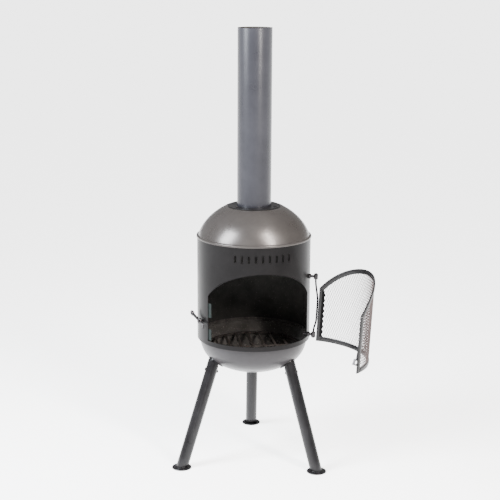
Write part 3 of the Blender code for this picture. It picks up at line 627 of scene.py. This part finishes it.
# ---------------------------------------------------------------- fire body
def vent_slot(along):
    """A round-ended slot cutter: the top half of a bar is lifted away from its lower half."""
    clear_selection()
    place = beside_shell(along, BODY_RADIUS, VENT_HEIGHT)
    bpy.ops.mesh.primitive_cylinder_add(vertices=20, radius=VENT_WIDTH / 2, depth=VENT_CUT, location=place,
                                        rotation=(math.radians(90.0), 0, along / BODY_RADIUS))
    made = settle(named("vent_cutter"))
    spread = (VENT_LENGTH - VENT_WIDTH) / 2
    for vert in made.data.vertices:
        vert.co.z += spread if vert.co.z > VENT_HEIGHT else -spread
    return made


def make_shell():
    wall = BODY_RADIUS - SHEET
    outer = [SHELL_TOP] + SHELL_RINGS + [SHELL_BOTTOM]
    profile = [(BODY_RADIUS, height) for height in outer] + [(wall, height) for height in outer[::-1]]
    shell = turned("fire_shell", profile, SHELL_SIDES, AXIS)

    def mouth_across(share, lift):
        return (share * 2 - 1) * MOUTH_HALF

    def mouth_up(share, lift):
        along = mouth_across(share, lift)
        top = arch_height(along, -MOUTH_HALF, MOUTH_HALF, MOUTH_SIDE_TOP, MOUTH_PEAK)
        return SILL + (top - SILL) * lift

    cut_with(shell, bent_panel("mouth_cutter", mouth_across, mouth_up, 96, 4, MOUTH_CUT_INSIDE,
                               MOUTH_CUT_OUTSIDE))
    slots = [vent_slot((i - (VENTS - 1) / 2) * VENT_PITCH) for i in range(VENTS)]
    cut_with(shell, joined(*slots))
    soften(shell, SHEET_EDGE, degrees=40.0)
    make_room(shell, 2)
    for face in shell.data.polygons:
        distance, away = from_axis(face)
        if distance < wall + AIR and away < FACES_AXIS:
            face.material_index = 1
    finish_piece(shell, "fire_body", [BODY_PAINT_PAINTED_SHADE, SOOT], ["body_shell"], 30.0)
    with_modifier(shell, "WEIGHTED_NORMAL", mode="FACE_AREA", weight=100, keep_sharp=True)


def dome_height(radius):
    full = (1 - (SEAT_RADIUS / DOME_EDGE) ** DOME_POWER) ** (1 / DOME_POWER)
    share = min(radius / DOME_EDGE, 1.0)
    return DOME_BASE + (SEAT_HEIGHT - DOME_BASE) / full * (1 - share ** DOME_POWER) ** (1 / DOME_POWER)


def make_dome():
    inside = BODY_RADIUS + AIR
    outside = inside + DOME_SHEET
    # The skirt's lower edge, then its outside and the step in to the shoulder.
    profile = [(inside, RIM_HEIGHT + FINE_EDGE), (inside + FINE_EDGE, RIM_HEIGHT),
               (outside - SHEET_EDGE, RIM_HEIGHT), (outside, RIM_HEIGHT + SHEET_EDGE),
               (outside, DOME_SHOULDER - 0.0026), (outside - 0.0004, DOME_SHOULDER - 0.0014),
               (outside - 0.0014, DOME_SHOULDER - 0.0004)]
    span = BODY_RADIUS - 0.0045 - SEAT_RADIUS
    radii = [SEAT_RADIUS + span * math.cos(math.pi / 2 * i / DOME_STEPS) for i in range(DOME_STEPS + 1)]
    profile += [(radius, max(dome_height(radius), DOME_SHOULDER)) for radius in radii]
    # The flat seat round the flue's hole, and back under it.
    profile += [(SEAT_RADIUS - 0.003, SEAT_HEIGHT), (SEAT_BORE, SEAT_HEIGHT),
                (SEAT_BORE, SEAT_HEIGHT - DOME_SHEET), (SEAT_RADIUS - 0.004, SEAT_HEIGHT - DOME_SHEET)]
    profile += [(radius - 0.0014, max(dome_height(radius), DOME_SHOULDER) - DOME_SHEET)
                for radius in radii[::-3]]
    profile.append((inside, SHELL_TOP + AIR))
    dome = turned("dome_cap", profile, DOME_SIDES, AXIS)
    soot_towards(dome, FIRE_UNDER_DOME)
    finish_piece(dome, "fire_body", [DOME_PAINT_PAINTED_TOP_LIGHT, SOOT], ["dome"], 30.0)


def bowl_depth(radius):
    """Height of the bowl's skin: a tight knuckle round a shallow crown."""
    across = BOWL_STEP - KNUCKLE
    crown_centre = BOWL_LEVEL + math.sqrt((CROWN - KNUCKLE) ** 2 - across ** 2)
    if radius < across * CROWN / (CROWN - KNUCKLE):
        return crown_centre - math.sqrt(CROWN ** 2 - radius ** 2)
    return BOWL_LEVEL - math.sqrt(max(KNUCKLE ** 2 - (radius - across) ** 2, 0.0))


def make_bowl():
    """The rim stands inside the shell, steps out under its edge, and the skin closes below."""
    rim = BODY_RADIUS - SHEET - AIR
    profile = [(rim, SHELL_BOTTOM + 0.0125), (rim, SHELL_BOTTOM + 0.0048),
               (rim - 0.0009, SHELL_BOTTOM + 0.0028), (BOWL_STEP + 0.0014, SHELL_BOTTOM + 0.0008),
               (BOWL_STEP, BOWL_LEVEL)]
    for i in range(1, BOWL_STEPS):
        radius = BOWL_STEP * math.cos(math.pi / 2 * i / BOWL_STEPS)
        profile.append((radius, bowl_depth(radius)))
    bowl = turned("ember_bowl", profile, DOME_SIDES, AXIS, closed=False)
    with_modifier(bowl, "SOLIDIFY", thickness=BOWL_SHEET, offset=-1.0)
    soot_towards(bowl, FIRE_OVER_BOWL)
    finish_piece(bowl, "fire_body", [BOWL_PAINT_PAINTED_FLOOR_LIGHT, ASH], ["bowl"], 30.0)


def make_flue():
    inside = FLUE_RADIUS - FLUE_WALL
    profile = [(FLUE_RADIUS, FLUE_FOOT), (FLUE_RADIUS, FLUE_TOP - PLATE_EDGE),
               (FLUE_RADIUS - SHEET_EDGE, FLUE_TOP), (inside + FINE_EDGE, FLUE_TOP),
               (inside, FLUE_TOP - SHEET_EDGE), (inside, FLUE_FOOT)]
    flue = turned("flue_tube", profile, FLUE_SIDES, AXIS)
    make_room(flue, 3)
    for face in flue.data.polygons:
        if from_axis(face)[1] < FACES_AXIS:
            face.material_index = 1
        elif face.normal.z > FACES_UP:
            face.material_index = 2
    finish_piece(flue, "fire_body", [FLUE_PAINT_PAINTED_LIGHTER, SOOT, EDGE_STEEL], ["flue_pipe"], 30.0)


def make_flange():
    bottom = SEAT_HEIGHT + AIR
    bore = FLUE_RADIUS + AIR
    profile = [(FLANGE_RADIUS - PLATE_EDGE, bottom), (FLANGE_RADIUS, bottom + PLATE_EDGE),
               (FLANGE_RADIUS, FLANGE_TOP - FLANGE_EDGE), (FLANGE_RADIUS - FLANGE_EDGE, FLANGE_TOP),
               (bore, FLANGE_TOP), (bore, bottom)]
    flange = turned("flue_collar", profile, FLUE_SIDES, AXIS)
    finish_piece(flange, "fire_body", [DOOR_PAINT_PAINTED_SHADE], ["flue_flange"], 30.0)


# ---------------------------------------------------------------- legs
def make_leg(number):
    foot_place = Vector(mounts[f"foot_base_{number}"]["pos_m"])
    out = Vector((foot_place.x - AXIS.x, foot_place.y - AXIS.y, 0.0)).normalized()
    top = AXIS + out * LEG_TOP_RADIUS + UP * bowl_depth(LEG_TOP_RADIUS)
    along = (top - foot_place).normalized()
    clear_selection()
    bpy.ops.mesh.primitive_circle_add(vertices=LEG_SIDES, radius=LEG_RADIUS,
                                      location=(0, 0, -LEG_SPARE_BELOW))
    leg = named(f"leg_tube_{number}")
    into_edit()
    extrude(0, 0, LEG_SPARE_BELOW + LEG_LOW_RING)
    extrude(0, 0, (top - foot_place).length - LEG_LOW_RING)
    extrude(0, 0, LEG_SPARE_ABOVE)
    tidy_skin()
    out_of_edit()
    turn = UP.rotation_difference(along).to_matrix().to_4x4()
    settle(leg, Matrix.Translation(foot_place) @ turn)
    skin_up = (UP - out * slope_at(bowl_depth, LEG_TOP_RADIUS, 0.001)).normalized()
    into_edit()
    bpy.ops.mesh.bisect(plane_co=top - skin_up * LEG_GAP, plane_no=skin_up, clear_outer=True)
    bpy.ops.mesh.select_all(action="SELECT")
    heel_up = (UP * math.cos(LEG_HEEL_TILT) + out * math.sin(LEG_HEEL_TILT)).normalized()
    heel = foot_place + out * LEG_RADIUS + UP * (FOOT_THICKNESS + AIR)
    bpy.ops.mesh.bisect(plane_co=heel, plane_no=heel_up, clear_inner=True)
    out_of_edit()
    with_modifier(leg, "SOLIDIFY", thickness=LEG_WALL, offset=-1.0)
    soften(leg, FINE_EDGE, degrees=50.0)
    finish_piece(leg, "fire_body", [LEG_PAINT_PAINTED_SHADE], [f"leg_{number}"], 40.0)
    make_foot(number, foot_place)
    bead = weld_bead(f"foot_weld_{number}", foot_place, out, along)
    finish_piece(bead, "fire_body", [LEG_PAINT_PAINTED_SHADE], [], 60.0)


def make_foot(number, foot_place):
    profile = [(FOOT_RADIUS - PLATE_EDGE, 0.0), (FOOT_RADIUS, PLATE_EDGE),
               (FOOT_RADIUS, FOOT_THICKNESS - FOOT_EDGE), (FOOT_RADIUS - FOOT_EDGE, FOOT_THICKNESS),
               (FOOT_RING, FOOT_THICKNESS), (FOOT_MIDDLE, FOOT_THICKNESS)]
    foot = turned(f"foot_disc_{number}", profile, FOOT_SIDES, foot_place, closed=False)
    into_edit()
    bpy.ops.mesh.select_all(action="DESELECT")
    bpy.ops.mesh.select_non_manifold()
    bpy.ops.mesh.fill()
    tidy_skin()
    out_of_edit()
    finish_piece(foot, "fire_body", [LEG_PAINT_PAINTED_SHADE], [f"foot_{number}"], 40.0)


def weld_bead(name, foot_place, out, along):
    """A fillet round the outboard side of the leg, where it stands on its disc."""
    side = out.cross(UP)
    points = []
    for i in range(BEAD_STEPS + 1):
        turn = BEAD_SPAN * (2 * i / BEAD_STEPS - 1)
        reach = (out * math.cos(turn) / along.z + side * math.sin(turn)) * BEAD_OUT
        points.append(foot_place + reach + UP * (FOOT_THICKNESS + BEAD_RADIUS / 2))
    return drawn_rod(name, points, BEAD_RADIUS, BEAD_ROUNDING)


# ---------------------------------------------------------------- door
def hung(made):
    """Swings a shut door piece to its open rest pose."""
    joint = joints["door_swing"]
    pin = Matrix.Translation(Vector(joint["pos_m"]))
    swing = Matrix.Rotation(math.radians(-joint["range_deg"][0]), 4, Vector(joint["axis"]))
    return settle(made, pin @ swing @ pin.inverted())


def door_arch(along, inset):
    return arch_height(along, DOOR_LEFT, DOOR_RIGHT, DOOR_SIDE_TOP, DOOR_PEAK, inset)


def make_rails():
    outer_span = (DOOR_LEFT, DOOR_RIGHT)
    inner_span = (DOOR_LEFT + DOOR_RAIL, DOOR_RIGHT - DOOR_RAIL)

    def span(ends, share):
        return ends[0] + (ends[1] - ends[0]) * share

    def arch_across(share, lift):
        return span(inner_span, share) * (1 - lift) + span(outer_span, share) * lift

    def arch_up(share, lift):
        inner = door_arch(span(inner_span, share), DOOR_RAIL)
        outer = door_arch(span(outer_span, share), 0.0)
        return inner * (1 - lift) + outer * lift

    def bottom_across(share, lift):
        return span(inner_span, share)

    def bottom_up(share, lift):
        return DOOR_BOTTOM + DOOR_RAIL * lift

    rails = [("arch_rail", "door_arch_rail", arch_across, arch_up, 96, 8),
             ("bottom_rail", "door_bottom_rail", bottom_across, bottom_up, 96, 8)]
    for name, stile, outer, inner in (("hinge_stile", "door_hinge_stile", DOOR_RIGHT, inner_span[1]),
                                      ("latch_stile", "door_latch_stile", DOOR_LEFT, inner_span[0])):

        def stile_across(share, lift, ends=(outer, inner)):
            return span(ends, share)

        def stile_up(share, lift, tops=(door_arch(outer, 0.0), door_arch(inner, DOOR_RAIL))):
            return DOOR_BOTTOM + (span(tops, share) - STILE_GAP - DOOR_BOTTOM) * lift

        rails.append((name, stile, stile_across, stile_up, 8, 48))
    for name, stands_for, across, upwards, columns, rows in rails:
        upright = columns < rows

        def swell(share, lift, upright=upright):
            return RAIL_CROWN * math.sin(math.pi * (share if upright else lift)) ** RAIL_ROUNDNESS

        rail = bent_panel(name, across, upwards, columns, rows, DOOR_INSIDE + RAIL_CROWN,
                          DOOR_OUTSIDE - RAIL_CROWN, swell)
        soften(rail, RAIL_EDGE, degrees=50.0)
        finish_piece(hung(rail), "door", [DOOR_PAINT_PAINTED_SHADE], [stands_for], 40.0)


def make_lattice():
    """Expanded metal: a net of slanted diamonds, trimmed to the frame and bent to the door's curve."""
    clear_selection()
    half = (DOOR_RIGHT - DOOR_LEFT) / 2 - MESH_INSET
    columns = int(half * 2 / DIAMOND_WIDTH) + SPARE_DIAMONDS
    rows = int((DOOR_PEAK - DOOR_BOTTOM) / DIAMOND_HEIGHT) + SPARE_DIAMONDS
    size = (columns + rows) * 2
    bpy.ops.mesh.primitive_grid_add(x_subdivisions=size, y_subdivisions=size, size=1.0, location=(0, 0, 0))
    lattice = named("door_lattice")
    into_edit()
    middle = (DOOR_LEFT + DOOR_RIGHT) / 2
    middle_height = (DOOR_BOTTOM + DOOR_PEAK) / 2
    work = bmesh.from_edit_mesh(lattice.data)
    for vert in work.verts:
        i = vert.co.x * size
        j = vert.co.y * size
        vert.co = (middle + (i + j) * DIAMOND_WIDTH / 2, 0.0, middle_height + (i - j) * DIAMOND_HEIGHT / 2)
    bmesh.update_edit_mesh(lattice.data)
    cuts = [((middle, 0, DOOR_BOTTOM + MESH_INSET), (0, 0, -1)), ((middle + half, 0, 0), (1, 0, 0)),
            ((middle - half, 0, 0), (-1, 0, 0))]
    for k in range(MESH_ARCH_CUTS + 1):
        along = middle + half * (2 * k / MESH_ARCH_CUTS - 1)
        slope = slope_at(lambda place: door_arch(place, MESH_INSET), along, 0.0005)
        cuts.append(((along, 0, door_arch(along, MESH_INSET)), (-slope, 0, 1)))
    for place, out in cuts:
        bpy.ops.mesh.select_all(action="SELECT")
        bpy.ops.mesh.bisect(plane_co=place, plane_no=out, clear_outer=True, threshold=WELD_DISTANCE)
    work = bmesh.from_edit_mesh(lattice.data)
    for vert in work.verts:
        vert.co = beside_shell(vert.co.x, MESH_RADIUS, vert.co.z)
    bmesh.update_edit_mesh(lattice.data)
    tidy_skin()
    out_of_edit()
    with_modifier(lattice, "WIREFRAME", thickness=MESH_STRAND, use_even_offset=False, use_boundary=True,
                  use_replace=True)
    finish_piece(hung(lattice), "door", [LATTICE_STEEL], ["door_mesh"], 60.0)


def make_selvedge(name, edge, inwards):
    """The net's cut edge, folded over a stile: a dark strip with one scallop to each diamond."""
    bottom = DOOR_BOTTOM + DOOR_RAIL + SELVEDGE_FOOT
    top = door_arch(edge, DOOR_RAIL) - SELVEDGE_HEAD

    def upwards(share, lift):
        return bottom + (top - bottom) * lift

    def across(share, lift):
        wave = abs(math.cos(math.pi * (upwards(share, lift) - bottom) / DIAMOND_HEIGHT))
        return edge + inwards * (-SELVEDGE_LAP + share * (SELVEDGE_WIDTH + SELVEDGE_SCALLOP * wave))

    strip = bent_panel(name, across, upwards, 3, 110, DOOR_INSIDE - SELVEDGE_HALF,
                       DOOR_INSIDE + SELVEDGE_HALF)
    finish_piece(hung(strip), "door", [ROD_PAINT], [], 40.0)


def make_hinge_rod():
    """A cranked rod: its ends turn in the eyes, and its middle runs along the stile."""
    joint = joints["door_swing"]
    pin = Vector(joint["pos_m"])
    line = Vector(joint["axis"]).normalized()
    on_line = [pin + line * ((height - pin.z) / line.z) for height in ROD_EYE_HEIGHTS]
    middle = (DOOR_INSIDE + DOOR_OUTSIDE) / 2
    crank = [beside_shell(ROD_BESIDE, middle, height) for height in ROD_CRANK_HEIGHTS]
    rod = drawn_rod("hinge_bar", on_line[:2] + crank + on_line[2:], ROD_RADIUS, ROD_BEND)
    finish_piece(hung(rod), "door", [ROD_PAINT], ["hinge_rod"], 50.0)


# ---------------------------------------------------------------- latch
def make_latch():
    """A twisted bar with a pulled eye at one end and a turned-down finger at the other."""
    joint = joints["latch_swing"]
    out = Vector(joint["axis"]).normalized()
    frame_turn = Matrix((UP.cross(out), UP, out)).transposed().to_4x4()
    place = Matrix.Translation(Vector(joint["pos_m"])) @ frame_turn @ Matrix.Rotation(LATCH_TILT, 4, "Z")
    half = LATCH_BAR / 2
    neck = LATCH_BAR * 0.8
    clear_selection()
    bpy.ops.mesh.primitive_plane_add(size=LATCH_BAR, location=(-neck, 0, 0),
                                     rotation=(0, math.radians(90.0), 0))
    twisted = settle(named("latch_bar"))
    into_edit()
    stride = (LATCH_TAIL - neck) / LATCH_STEPS
    for i in range(LATCH_STEPS):
        extrude(-stride, 0, 0)
        bpy.ops.transform.rotate(value=LATCH_TWIST / LATCH_STEPS, orient_axis="X",
                                 center_override=(-neck - stride * (i + 1), 0, 0))
    tidy_skin()
    out_of_edit()
    soften(twisted, SHEET_EDGE, degrees=50.0)
    clear_selection()
    bpy.ops.mesh.primitive_torus_add(major_radius=LATCH_EYE - half, minor_radius=half, major_segments=48,
                                     minor_segments=16, location=(-LATCH_TAIL - LATCH_EYE * 0.55, 0, 0))
    eye = named("eye")
    eye.scale = (1.25, 0.82, 1.0)
    settle(eye)
    rim = LATCH_BAR * 1.25
    profile = [(LATCH_BORE, -half), (rim - PLATE_EDGE, -half), (rim, PLATE_EDGE - half),
               (rim, half - PLATE_EDGE), (rim - PLATE_EDGE, half), (LATCH_BORE, half)]
    boss = turned("boss", profile, LEG_SIDES, Vector((0.0, 0.0, 0.0)))
    end = LATCH_REACH - LATCH_BAR * 0.7
    finger = drawn_rod("finger", [(neck, 0, 0), (end, 0, 0), (end, -LATCH_FINGER, 0)], half, rounding=neck)
    handle = joined(twisted, eye, boss, finger)
    handle.name = "latch_lever"
    settle(handle, place)
    finish_piece(handle, "latch", [FASTENER_STEEL], ["latch_handle"], 45.0)


def make_strap_finish(item):
    """A light holed plate under a dark slanting bar: the height on the piece parts the two finishes."""
    material, tree, shader = new_material("strap_finish", 0.8)
    texture = node(tree, "ShaderNodeGroup", node_tree=METAL_TEXTURE)
    plate = colour_mix(tree, ranged(tree, texture.outputs["Stain"]), (0.10, 0.10, 0.11), (0.17, 0.17, 0.185))
    on_piece = item.matrix_world.inverted()
    plate_top = on_piece @ Vector((0.0, 0.0, STRAP_PLATE_TOP))
    bar_bottom = on_piece @ Vector((0.0, 0.0, STRAP_BAR_BOTTOM))
    place = node(tree, "ShaderNodeSeparateXYZ")
    tree.links.new(node(tree, "ShaderNodeTexCoord").outputs["Object"], place.inputs[0])
    upper = ranged(tree, place.outputs["Z"], low_in=plate_top.z, high_in=bar_bottom.z)
    tree.links.new(colour_mix(tree, upper, plate, (0.010, 0.0095, 0.010)), shader.inputs["Base Color"])
    tree.links.new(ranged(tree, texture.outputs["Stain"], 0.46, 0.34), shader.inputs["Roughness"])
    bump_steel(tree, texture, shader)
    return material


def dress_cad_nodes():
    """The nodes whose shapes stay get their finishes."""
    finishes = {"flange_screw": FASTENER_STEEL, "eyebolt": FASTENER_STEEL, "leg_bolt": FASTENER_STEEL,
                "leg_nut": FASTENER_STEEL, "leg_socket": LEG_PAINT_PAINTED_SHADE, "door_stop": STOP_PAINT,
                "fire_grate": GRATE_IRON, "latch_pivot": FASTENER_STEEL,
                "latch_strap": make_strap_finish(frame["nodes"]["latch_strap"])}
    for name, item in frame["nodes"].items():
        for prefix, material in finishes.items():
            if name.startswith(prefix):
                for held in item.material_slots:
                    held.material = material


# ---------------------------------------------------------------- studio
def make_floor():
    """A wide plain floor that gives off a little light of its own, so that it looks pale all over."""
    clear_selection()
    bpy.ops.mesh.primitive_circle_add(vertices=96, radius=FLOOR_RADIUS, fill_type="NGON",
                                      location=(AXIS.x, AXIS.y, -FLOOR_DROP))
    floor = named("studio_floor")
    material, _, shader = new_material("pale_floor", 0.0)
    shader.inputs["Roughness"].default_value = 0.9
    shader.inputs["Specular IOR Level"].default_value = 0.0
    shader.inputs["Base Color"].default_value = (0.90, 0.90, 0.90, 1.0)
    shader.inputs["Emission Color"].default_value = (1.0, 1.0, 1.0, 1.0)
    shader.inputs["Emission Strength"].default_value = FLOOR_GLOW
    floor.data.materials.append(material)


def make_world():
    world = bpy.data.worlds.new("studio_air")
    world.use_nodes = True
    world.node_tree.nodes["Background"].inputs["Color"].default_value = (1.0, 1.0, 1.0, 1.0)
    world.node_tree.nodes["Background"].inputs["Strength"].default_value = WORLD_GLOW
    bpy.context.scene.world = world


def make_panel(name, bearing, height, distance, size, watts, colour, aim):
    """A soft panel at a bearing from the camera's side, turned to a height on the fire's axis."""
    light = bpy.data.lights.new(name, "AREA")
    light.shape = "RECTANGLE"
    light.size, light.size_y = size
    light.energy = watts
    light.color = colour
    item = bpy.data.objects.new(name, light)
    bpy.context.scene.collection.objects.link(item)
    turn = math.radians(bearing + CAMERA_BEARING)
    item.location = AXIS + Vector((math.sin(turn), -math.cos(turn), 0.0)) * distance + UP * height
    item.rotation_mode = "QUATERNION"
    item.rotation_quaternion = (AXIS + UP * aim - item.location).to_track_quat("-Z", "Y")


def make_studio():
    make_floor()
    make_world()
    make_panel("left_panel", bearing=-62.0, height=2.10, distance=1.90, size=(0.85, 1.3), watts=250.0,
               colour=(0.90, 0.95, 1.0), aim=1.15)
    make_panel("right_panel", bearing=36.0, height=2.05, distance=1.60, size=(0.26, 1.4), watts=130.0,
               colour=(1.0, 0.95, 0.90), aim=1.15)
    make_panel("front_panel", bearing=-8.0, height=2.60, distance=3.40, size=(1.6, 0.8), watts=8.0,
               colour=(1.0, 0.98, 0.96), aim=0.70)


def make_camera():
    camera = bpy.data.objects.new("camera", bpy.data.cameras.new("camera"))
    bpy.context.scene.collection.objects.link(camera)
    bpy.context.scene.camera = camera
    camera.data.sensor_width = 36.0
    camera.data.lens = 91.66
    place = Matrix.Translation(AXIS + CAMERA_PLACE)
    turn = Matrix.Rotation(math.radians(CAMERA_BEARING), 4, "Z")
    pitch = Matrix.Rotation(math.radians(CAMERA_PITCH), 4, "X")
    roll = Matrix.Rotation(math.radians(CAMERA_ROLL), 4, "Z")
    camera.matrix_world = place @ (turn @ pitch) @ roll


make_shell()
make_dome()
make_bowl()
make_flue()
make_flange()
for leg_number in (1, 2, 3):
    make_leg(leg_number)
make_rails()
make_lattice()
make_selvedge("hinge_selvedge", DOOR_RIGHT - DOOR_RAIL, -1.0)
make_selvedge("latch_selvedge", DOOR_LEFT + DOOR_RAIL, 1.0)
make_hinge_rod()
make_latch()
dress_cad_nodes()
make_studio()
make_camera()
clear_selection()
